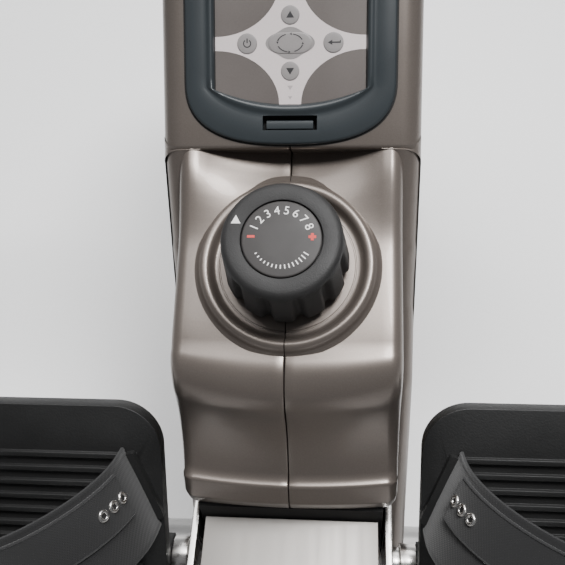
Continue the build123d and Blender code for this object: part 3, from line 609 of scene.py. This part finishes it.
def latch():
    """The tab that the thumb presses, in its slot."""
    bm = bmesh.new()
    loops = []
    for v, w in ((7.9, -6.0), (7.9, 0.4), (8.4, 1.3), (10.6, 1.45), (12.2, 1.1), (12.7, 0.2), (12.7, -6.0)):
        loops.append([CONSOLE(u, v, w) for u in (-12.3, -11.9, 11.9, 12.3)])
    made = rings(bm, loops, close_ring=False)
    for column in (0, 3):
        bm.faces.new([loop[column] for loop in made])
    bm.faces.new([v for v in made[0]] + [v for v in reversed(made[-1])])
    add("latch_tab", bm, "slate_plastic", "console_latch", 30.0, ("console_latch",))


def quarter(cu, cv, du, dv, steps=14):
    """A quarter ellipse round (cu, cv), from (cu, cv+dv) to (cu+du, cv)."""
    out = []
    for n in range(steps + 1):
        a = math.pi / 2 * n / steps
        out.append((cu + du * math.sin(a), cv + dv * math.cos(a)))
    return out


def star():
    """The pale printed star behind the keys."""
    low, high = 21.2, 84.0
    reach, low_rise, high_drop = 33.9, 28.0, 27.7
    points = quarter(-39.7, low, reach, low_rise) + list(reversed(quarter(39.7, low, -reach, low_rise)))
    points += quarter(39.7, high, -reach, -high_drop) + list(reversed(quarter(-39.7, high, reach, -high_drop)))
    plate_piece("overlay_star", points, CONSOLE, -1.05, -0.92, "star_print", "base")


def lozenge(half_u, half_v, tip, steps=96):
    """A round shape with a rounded lobe at each side."""
    out = []
    for n in range(steps):
        a = 2 * math.pi * n / steps
        c, s = math.cos(a), math.sin(a)
        r = half_v + (half_u - half_v) * abs(c) ** tip
        out.append((r * c, r * s))
    return out


def key(node, outline, u, v):
    """A key with a softly domed face."""
    bm = bmesh.new()
    loops = []
    for scale, w in ((1.0, -8.9), (1.0, -0.72), (0.97, -0.55), (0.90, -0.47), (0.5, -0.43), (0.02, -0.42)):
        loops.append([CONSOLE(u + p[0] * scale, v + p[1] * scale, w) for p in outline])
    rings(bm, loops, cap_ends=True)
    add(node + "_cap", bm, "key_print", node, 40.0, (node,))


def icon(name, body, polygons, u, v, w=-0.36, material="ink"):
    """Printed shapes on the console, given round (u, v)."""
    bm = bmesh.new()
    for points in polygons:
        prism(bm, CONSOLE, [(u + a, v + b) for a, b in points], w - 0.12, w)
    add(name, bm, material, body)


def band(points, width):
    """A thin line's outline from its middle points."""
    left, right = [], []
    for n, p in enumerate(points):
        a, b = Vector(points[max(0, n - 1)]), Vector(points[min(len(points) - 1, n + 1)])
        side = (b - a).normalized() * width / 2
        left.append((p[0] - side.y, p[1] + side.x))
        right.append((p[0] + side.y, p[1] - side.x))
    return left + list(reversed(right))


def arc_points(r, a0, a1, steps=16):
    """Points of an arc round the origin, from a0 to a1 degrees."""
    turns = [math.radians(a0 + (a1 - a0) * n / steps) for n in range(steps + 1)]
    return [(r * math.cos(a), r * math.sin(a)) for a in turns]


def keys():
    """The five keys with their printed signs, and two small hints under them."""
    for node, (u, v, r) in KEYS.items():
        key(node, arc_points(r, 0, 360 - 7.5, 47), u, v)
    key("mode_button", lozenge(11.6, 5.5, 3.0), 0, ROW)
    skirt = lozenge(13.0, 8.3, 9.0)
    plate_piece("mode_print", [(p[0], ROW + p[1]) for p in skirt], CONSOLE, -0.95, -0.80, "key_print", "base")
    tri = [(-2.1, -1.5), (2.1, -1.5), (0, 2.0)]
    power = [band(arc_points(1.9, 125, 415, 24), 0.55), box_points(-0.3, 0.2, 0.3, 2.6)]
    back = [(-3.0, 0), (-0.6, 1.3), (-0.6, 0.35), (3.3, 0.35), (3.3, 1.1), (3.8, 1.1), (3.8, -0.35),
            (-0.6, -0.35), (-0.6, -1.3)]
    for sign, polygons in (("up", [tri]), ("down", [[(a, -b) for a, b in tri]]), ("reset", power), ("enter", [back])):
        u, v, _ = KEYS[sign + "_button"]
        icon(sign + "_icon", sign + "_button", polygons, u, v)
    radius, wide = 4.6, 1.45
    turns = []
    for a0 in (20, 110, 200, 290):
        turns.append([(wide * a, b) for a, b in band(arc_points(radius, a0, a0 + 58, 12), 0.42)])
        tip = math.radians(a0 + 66)
        a, b = wide * radius * math.cos(tip), radius * math.sin(tip)
        turns.append([(a + 0.75 * math.cos(k), b + 0.75 * math.sin(k)) for k in (tip + 1.6, tip + 3.7, tip + 5.8)])
    icon("mode_icon", "mode_button", turns, 0, ROW)
    for name, v, size in (("first_hint", 29.8, 1.5), ("second_hint", 24.6, 1.1)):
        icon(name, "base", [[(-size, size * 0.7), (size, size * 0.7), (0, -size * 0.8)]], 0, v, -0.84, "grey_ink")


def words(name, text, size, place, body, material, depth=0.08):
    """Raised figures from Blender's own font. place(u, v, w) puts each point."""
    curve = bpy.data.curves.new(name, "FONT")
    curve.body = text
    curve.size = size
    curve.align_x = "CENTER"
    curve.align_y = "CENTER"
    curve.extrude = depth
    curve.resolution_u = 4
    holder = linked(name + "_curve", curve)
    graph = bpy.context.evaluated_depsgraph_get()
    mesh = bpy.data.meshes.new_from_object(holder.evaluated_get(graph))
    bpy.data.objects.remove(holder)
    bpy.data.curves.remove(curve)
    for vert in mesh.vertices:
        vert.co = place(*vert.co)
    mesh.materials.clear()
    mesh.materials.append(MAT[material])
    obj = linked(name, mesh)
    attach(obj, body)


def display():
    """The display above the keys, with plain figures and a row of growing bars."""
    surround = rounded_outline(box_points(-36.5, 82.5, 36.5, 136.5, 3), 5)
    plate_piece("display_frame", surround, CONSOLE, -1.02, -0.86, "black_and_painted_shade", "base")
    glass = rounded_outline(box_points(-33.9, 84.1, 33.9, 133.9, 1), 4)
    plate_piece("display_window", glass, CONSOLE, -1.0, -0.74, "display_glass", "base",
                ("display_lens",))
    for name, text, size, u, v in (("display_time", "0:00", 19, 0, 117), ("display_count", "000", 11, -17, 96)):
        words(name, text, size, lambda a, b, c: CONSOLE(u + a, v + b, -0.72 + c), "base", "ink")
    bars = [box_points(8 + 3.2 * n, -4, 10 + 3.2 * n, -2.6 + 1.3 * n) for n in range(6)]
    icon("display_bars", "base", bars, 0, 96, -0.66, "ink")


housing()
flank_rings()
mouth_shade_sheet()
bezel()
latch()
star()
keys()
display()


# ------------------------------------------------------------------ tension knob
DIAL_START, DIAL_SWEEP = 157.0, 132.0   # degrees: where the 1 stands, and the knob's travel to the 8
DIAL_TOP = 41.3                         # the dial's face, over the tray
DIGIT_RADIUS, TICK_RADIUS = 14.2, 14.0


def knob():
    """The fluted ring that turns, with its white pointer."""
    def fluted(r, w, a):
        """Twelve finger notches that run out below the rim."""
        notch = eased(1.25 * (1.0 - abs(math.sin(a * 6 + math.pi / 2)) / 0.72))
        return r - 2.9 * notch * eased((38.0 - w) / 5.0) if r > 27 else r

    profile = [(9.0, 5.7), (31.0, 5.7), (32.0, 6.4), (32.2, 8.0), (31.9, 12.0), (31.4, 18.0), (30.9, 24.0),
               (30.5, 29.0), (30.2, 33.0), (29.9, 36.0), (29.6, 38.2), (29.0, 39.8), (27.8, 41.0), (26.0, 41.5),
               (20.4, 41.5), (19.9, 41.3), (19.6, 40.6), (19.6, 38.9), (6.2, 38.9), (6.2, 6.0), (9.0, 5.7)]
    bm = bmesh.new()
    lathe(bm, RECESS, profile, 288, shape=fluted)
    add("knob_ring", bm, "knob_plastic", "tension_knob", 40.0, ("tension_knob",))
    a = math.radians(DIAL_START)
    u, v = 24.1 * math.cos(a), 24.1 * math.sin(a)
    shape = [(-2.3, -1.9), (2.3, -1.9), (0, 2.4)]
    plate_piece("knob_pointer", [(u + p, v + q) for p, q in shape], RECESS, DIAL_TOP + 0.15, DIAL_TOP + 0.28,
                "white_ink", "tension_knob")


def turned(r, t, a):
    """The point at radius r and t to its left, turned by an angle."""
    return r * math.cos(a) - t * math.sin(a), r * math.sin(a) + t * math.cos(a)


def dial():
    """The fixed dial: its disc, the numbers 1 to 8, red signs and growing ticks."""
    disc = bmesh.new()
    lathe(disc, RECESS, [(5.9, 39.0), (18.6, 39.0), (19.1, 39.6), (19.2, 40.9), (18.9, 41.2), (18.4, DIAL_TOP),
                         (9.0, DIAL_TOP), (0.05, DIAL_TOP)], 96)
    add("dial_face", disc, "dial_plastic", "base", 40.0, ("dial_plate",))
    for n in range(8):
        a = math.radians(DIAL_START - n * DIAL_SWEEP / 7)
        words(f"dial_digit_{n + 1}", str(n + 1), 6.0,
              lambda p, q, c: RECESS(*turned(DIGIT_RADIUS + q, -p, a), DIAL_TOP + 0.03 + c),
              "base", "white_ink", 0.06)
    signs = bmesh.new()
    for u, boxes in ((-14.6, ((1.8, 0.62),)), (14.6, ((1.8, 0.7), (0.7, 1.8)))):
        for half_u, half_v in boxes:
            lift = 0.02 if half_v > 1 else 0.0
            prism(signs, RECESS, box_points(u - half_u, 1.0 - half_v, u + half_u, 1.0 + half_v),
                  DIAL_TOP - 0.05 + lift, DIAL_TOP + 0.08 + lift)
    add("dial_signs", signs, "red_ink", "base")
    ticks = bmesh.new()
    for n in range(15):
        a = math.radians(212 + n * 116 / 14)
        half = 0.5 + 0.9 * n / 14
        corners = [turned(r, t, a) for r, t in box_points(TICK_RADIUS - half, -0.28, TICK_RADIUS + half, 0.28)]
        prism(ticks, RECESS, corners, DIAL_TOP - 0.05, DIAL_TOP + 0.07)
    add("dial_ticks", ticks, "white_ink", "base")


knob()
dial()


# ------------------------------------------------------------------ foot plates and their straps
FOOT_X = joint_at("foot_right_tilt")[0]
STRAP_V, STRAP_W, STRAP_TURN = 39.0, 22.8, 22.0     # the strap's place on the foot plate, and its turn
STRAP_HALF, STRAP_SPRING = 55.0, 11.0               # half the arch's width, and the height where it starts to bend
END_SHIFT = 9.0                                     # the strap's lapped end and eyelets sit this far up the band


def strap_points(half, spring, steps=28):
    """Middle line of the foot strap's arch as (x, height), with the way out of it."""
    points = [(-half, spring * n / 6, -1.0, 0.0) for n in range(6)]
    for n in range(steps + 1):
        a = math.pi - math.pi * n / steps
        points.append((half * math.cos(a), spring + half * math.sin(a), math.cos(a), math.sin(a)))
    points += [(half, spring * (5 - n) / 6, 1.0, 0.0) for n in range(6)]
    return points


def on_strap(hand, x, y, z):
    """A point of the foot strap: x along the arch (outwards on the right), y across the band, z above the plate."""
    turn = math.radians(-STRAP_TURN * hand)
    u = hand * FOOT_X + x * math.cos(turn) - y * math.sin(turn)
    v = STRAP_V + x * math.sin(turn) + y * math.cos(turn)
    return FOOT[hand](u, v, STRAP_W + z)


def eyelet_places(hand):
    """Middle and outward direction of three eyelets in a row above the strap's inner foot."""
    reach = STRAP_HALF + 2.6
    for turn in (148, 156, 164):
        a = math.radians(turn if hand > 0 else 180 - turn)
        yield (reach * math.cos(a), STRAP_SPRING + reach * math.sin(a)), math.cos(a), math.sin(a)


def foot_strap(hand, side):
    """The webbing over the foot, its lapped end with three eyelets, and the blocks that hold it."""
    body = f"foot_{side}"
    section = [(-26.6, -0.6), (-26.2, 0.6), (-25.0, 1.0), (-24.0, 0.5), (-23.0, 0.6), (-8, 0.9), (8, 0.9), (23.0, 0.6),
               (24.0, 0.5), (25.0, 1.0), (26.2, 0.6), (26.6, -0.6), (25.8, -1.3), (0, -1.45), (-25.8, -1.3)]

    def web(name, path, narrow, shift, stands_for=()):
        """The band's section swept along a path."""
        bm = bmesh.new()
        rings(bm, [[on_strap(hand, x + nx * h, y * narrow + shift, z + nz * h) for y, h in section]
                   for x, z, nx, nz in path], cap_ends=True)
        add(name, bm, "webbing", body, 50.0, stands_for)

    web(f"foot_strap_web_{side}", strap_points(STRAP_HALF, STRAP_SPRING), 1.0, 0.0, (f"foot_strap_{side}",))
    lifted = strap_points(STRAP_HALF + 1.7, STRAP_SPRING)
    web(f"foot_strap_end_{side}", lifted[8:30] if hand > 0 else lifted[11:33], 0.5, END_SHIFT)
    metal, holes = bmesh.new(), bmesh.new()
    for (x, z), nx, nz in eyelet_places(hand):
        def near(r, h, c, s):
            """The point at radius r round the eyelet's axis, h out of the band."""
            return on_strap(hand, x - nz * r * c + nx * h, r * s + END_SHIFT, z + nx * r * c + nz * h)
        rings(metal, [[near(r, h, c, s) for c, s in circle(28)] for r, h in (
            (1.5, -0.2), (1.5, 0.7), (1.9, 1.0), (2.7, 1.05), (3.2, 0.7), (3.4, 0.1), (3.4, -0.4))])
        # a near-black disc in each eyelet's hole, painted shade for the hole's depth
        holes.faces.new([holes.verts.new(near(1.7, 0.3, c, s)) for c, s in circle(20)])
    add(f"foot_strap_eyelets_{side}", metal, "bright_steel", body, 60.0)
    add(f"foot_strap_holes_{side}", holes, "black_and_painted_shade", body)
    anchor = bmesh.new()
    for end in (-STRAP_HALF, STRAP_HALF):
        corners = rounded_outline(box_points(end - 5.0, -22, end + 5.0, 22, 2), 4)
        prism(anchor, lambda x, y, z: on_strap(hand, x, y, z), corners, -2.6, 1.6)
    add(f"foot_strap_anchors_{side}", anchor, "foot_plastic", body, 40.0)


for hand, side in SIDES:
    refine(f"foot_plate_{side}", 0.0007)
    foot_strap(hand, side)


# ------------------------------------------------------------------ hard pieces with rounded edges
for node, width in {    # bevel widths in metres
    "slide_rail": 0.0012, "rail_rear_cap": 0.0012, "rear_leg": 0.0015, "rear_stabilizer": 0.0006,
    "rear_stabilizer_caps": 0.003, "stabilizer_caps": 0.003, "front_stabilizer": 0.0006, "middle_stabilizer": 0.0006,
    "hinge_plates": 0.0005, "rail_pivot_bolt": 0.0008, "foot_axles": 0.0006, "fold_lock_knob": 0.0012,
    "seat_carriage": 0.0006, "seat_board": 0.0012, "handle_cradle": 0.0012, "handle_clip": 0.001,
    "seat_stops": 0.001, "console_back_case": 0.0012, "rail_hinge_block": 0.001,
}.items():
    refine(node, width)


def wheel(side):
    """A transport wheel: soft tread, dished sides with five ribs, and a hub."""
    x0, y, z = joint_at(f"{side}_wheel_roll")
    tread = [(-9.6, 24.0), (-9.9, 26.0), (-9.0, 27.5), (-6.5, 28.0), (-5.2, 27.7), (-4.8, 26.6), (-4.2, 26.3),
             (4.2, 26.3), (4.8, 26.6), (5.2, 27.7), (6.5, 28.0), (9.0, 27.5), (9.9, 26.0), (9.6, 24.0), (8.4, 23.4),
             (6.0, 22.6), (5.0, 21.0), (4.6, 12.0), (6.0, 10.6), (9.2, 10.0), (9.6, 9.2), (9.6, 4.3), (-9.6, 4.3),
             (-9.6, 9.2), (-9.2, 10.0), (-6.0, 10.6), (-4.6, 12.0), (-5.0, 21.0), (-6.0, 22.6), (-8.4, 23.4),
             (-9.6, 24.0)]
    bm = bmesh.new()
    across(bm, y, z, [(x0 + x, r) for x, r in tread], 72)
    for face in (-1, 1):
        for n in range(5):
            a = 2 * math.pi * n / 5 + 0.3
            corners = [turned(r, t, a) for r, t in box_points(9.0, -1.6, 23.0, 1.6)]
            rings(bm, [[at(x0 + face * x, y + p, z + q) for p, q in corners] for x in (4.0, 7.2)], cap_ends=True)
    add(f"transport_wheel_{side}_piece", bm, "black_plastic", f"transport_wheel_{side}", 40.0,
        (f"transport_wheel_{side}",))


for _, side in SIDES:
    wheel(side)


# ------------------------------------------------------------------ handle
HANDLE_Y, HANDLE_Z = 268.0, RAIL_TOP + 291.0
GRIP_START, GRIP_END = 80.0, 228.0
WEB_LOW = RAIL_TOP + 290.3              # underside of the pulled strap
WEB_START = 286.0                       # where it leaves the clip
ROLLER_Y = joint_at("guide_roller_turn")[1]


def handle():
    """The bar and its foam grips, slightly uneven and waisted where the hands close."""
    refine("handle_bar", 0.0006)
    bm = bmesh.new()
    straight = GRIP_END - 6.0 - GRIP_START
    for hand in (1, -1):
        profile = [(79.0, 12.7), (78.2, 14.0), (78.6, 15.8), (GRIP_START, 16.8)]
        for n in range(1, 40):
            x = GRIP_START + straight * n / 40
            profile.append((x, 16.7 + 0.25 * math.cos(n * 2.2) - 0.35 * math.exp(-((x - 150) / 30) ** 2)))
        profile += [(223.5, 16.9), (226.4, 16.0), (227.7, 14.0), (GRIP_END, 11.0), (GRIP_END, 0.3)]
        across(bm, HANDLE_Y, HANDLE_Z, [(hand * x, r) for x, r in profile], 56)
    piece = add("foam_grips", bm, "grip_foam", "handle", 50.0, ("handle_grips",))


def pull_strap():
    """The flat webbing from the clip to the guide roller."""
    section = [(-12.5, 1.0), (-12.1, 1.8), (-11.0, 2.0), (11.0, 2.0), (12.1, 1.8), (12.5, 1.0), (12.1, 0.2),
               (11.0, 0.0), (-11.0, 0.0), (-12.1, 0.2)]
    count = 120
    loops = []
    for n in range(count + 1):
        y = WEB_START + (ROLLER_Y - WEB_START) * n / count
        loops.append([at(x, y, WEB_LOW + z) for x, z in section])
    bm = bmesh.new()
    rings(bm, loops, cap_ends=True)
    bmesh.ops.recalc_face_normals(bm, faces=bm.faces)
    obj = linked("pull_strap_web", mesh_from("pull_strap_web", bm, MAT["webbing"]))
    finish_mesh(obj)
    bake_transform(obj)
    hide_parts("pull_strap")


handle()
pull_strap()


# ------------------------------------------------------------------ seat
SEAT_LOW, SEAT_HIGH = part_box("seat_pad")
SEAT_MIDDLE = (SEAT_LOW + SEAT_HIGH) / 2
SEAT_HALF = (SEAT_HIGH - SEAT_LOW) / 2
SEAT_INSET, SEAT_CORNER = 0.004, 0.058  # in metres, as everything about the seat


def seat_outline():
    """The seat from above: a box with wide round corners."""
    x, y = SEAT_HALF.x - SEAT_INSET, SEAT_HALF.y - SEAT_INSET
    return [Vector((p.x, p.y)) for p in rounded_outline(box_points(-x, -y, x, y, SEAT_CORNER), 10)]


def seat_point(p, shrink, z):
    """A point of the outline, drawn in towards the seat's middle, at a height over its underside."""
    return Vector((SEAT_MIDDLE.x + p.x * (1 - shrink / SEAT_HALF.x), SEAT_MIDDLE.y + p.y * (1 - shrink / SEAT_HALF.y),
                   SEAT_LOW.z + z))


def inflate(pad):
    """The vinyl as a cloth under pressure, held at its lower edge and along the seam down its middle."""
    held = pad.vertex_groups.new(name="held")
    for vert in pad.data.vertices:
        off = vert.co - SEAT_MIDDLE
        if vert.co.z < SEAT_LOW.z + 0.006:
            held.add([vert.index], 1.0, "REPLACE")
        elif abs(off.x) < 0.004 and off.z > 0 and abs(off.y) < 0.075:
            held.add([vert.index], 0.5, "REPLACE")
    cloth = pad.modifiers.new("cloth", "CLOTH")
    for key, value in {"quality": 6, "use_pressure": True, "uniform_pressure_force": 4.0,
                       "vertex_group_mass": "held", "tension_stiffness": 25, "compression_stiffness": 25,
                       "bending_stiffness": 0.6}.items():
        setattr(cloth.settings, key, value)
    cloth.settings.effector_weights.gravity = 0.0
    cloth.collision_settings.use_collision = False
    last = 20
    cloth.point_cache.frame_start, cloth.point_cache.frame_end = 1, last
    scene = bpy.context.scene
    kept = scene.frame_current
    for number in range(1, last + 1):
        scene.frame_set(number)
    applied(pad)
    pad.vertex_groups.clear()
    scene.frame_set(kept)


def seat():
    """The cushion, kept inside its CAD box, and the piping round its foot."""
    outline = seat_outline()
    bm = bmesh.new()
    rings(bm, [[seat_point(p, shrink, z) for p in outline] for shrink, z in (
        (0.004, 0.0), (0.0, 0.003), (0.0, 0.020), (0.0, 0.036), (0.004, 0.046), (0.012, 0.053), (0.024, 0.056))],
        cap_ends=True)
    pad = add("seat_cushion", bm, "seat_vinyl", "seat", 60.0, ("seat_pad",))
    applied(pad, ("REMESH", {"mode": "VOXEL", "voxel_size": 0.0055}))
    inflate(pad)
    applied(pad, ("SMOOTH", {"factor": 0.5, "iterations": 6}), ("SUBSURF", {"levels": 1, "render_levels": 1}))
    for vert in pad.data.vertices:
        vert.co = [min(max(c, low), high) for c, low, high in zip(vert.co, SEAT_LOW, SEAT_HIGH)]
    finish_mesh(pad, 180.0)
    piping = bmesh.new()
    loops = [[seat_point(p, -0.0012 * c, 0.005 + 0.0012 * s) for p in spread(outline, 0.01)] for c, s in circle(8)]
    rings(piping, loops + loops[:1])
    bmesh.ops.remove_doubles(piping, verts=piping.verts, dist=1e-7)
    add("seat_piping", piping, "stitch", "seat", 60.0)


seat()


# ------------------------------------------------------------------ stage, lights and camera
LIGHTS = (      # name, place, aim, disk size, watts
    ("key_light", (0.42, 0.60, 1.8), (0.05, 0.5, 0.4), 0.45, 30),
    ("top_light", (-0.3, 1.3, 2.4), (0.0, 0.6, 0.0), 2.0, 50),
    ("back_light", (0.3, 2.3, 1.6), (0.0, 0.5, 0.3), 1.2, 16))
SWEEP_HALF, SWEEP_START, SWEEP_BEND, SWEEP_RADIUS, SWEEP_TOP = 7.0, -6.0, 2.5, 1.5, 6.0
CAMERA_PLACE = (0.032, 0.2785, 0.725)
CAMERA_TURNS = ((33.0, "X"), (4.84, "Y"), (0.58, "Z"))


def stage():
    """A pale floor that curves up behind the machine, three soft lights and a weak sky."""
    backdrop = surface("studio_floor", linear(252, 252, 252), 0.6, 0.0, 0.02, 300, 2, 0.02, 0.0001, 0.05)
    bm = bmesh.new()
    rows = [(SWEEP_START, 0.0), (SWEEP_BEND, 0.0)]
    for n in range(1, 13):
        a = math.pi / 2 * n / 12
        rows.append((SWEEP_BEND + SWEEP_RADIUS * math.sin(a), SWEEP_RADIUS * (1 - math.cos(a))))
    rows.append((SWEEP_BEND + SWEEP_RADIUS, SWEEP_TOP))
    rings(bm, [[Vector((x, y, z)) for x in (-SWEEP_HALF, SWEEP_HALF)] for y, z in rows], close_ring=False)
    floor = linked("studio_sweep", mesh_from("studio_sweep", bm, backdrop))
    floor.data.shade_smooth()
    for name, place, aim, size, power in LIGHTS:
        data = bpy.data.lights.new(name, "AREA")
        data.shape = "DISK"
        data.size = size
        data.energy = power
        light = linked(name, data)
        light.location = place
        light.rotation_euler = (Vector(aim) - Vector(place)).to_track_quat("-Z", "Y").to_euler()
    world = bpy.data.worlds.new("studio_light")
    bpy.context.scene.world = world
    world.use_nodes = True
    sky = world.node_tree.nodes["Background"]
    sky.inputs["Color"].default_value = linear(236, 238, 242)
    sky.inputs["Strength"].default_value = 0.26


def camera():
    """The main view: from over the rail, down onto the console and the knob."""
    data = bpy.data.cameras.new("camera")
    data.lens = 50.0
    data.sensor_width = 36.0
    data.clip_start = 0.01
    obj = linked("camera", data)
    obj.matrix_world = Matrix.Translation(CAMERA_PLACE)
    for degrees, axis in CAMERA_TURNS:
        obj.matrix_world @= Matrix.Rotation(math.radians(degrees), 4, axis)
    bpy.context.scene.camera = obj


stage()
camera()
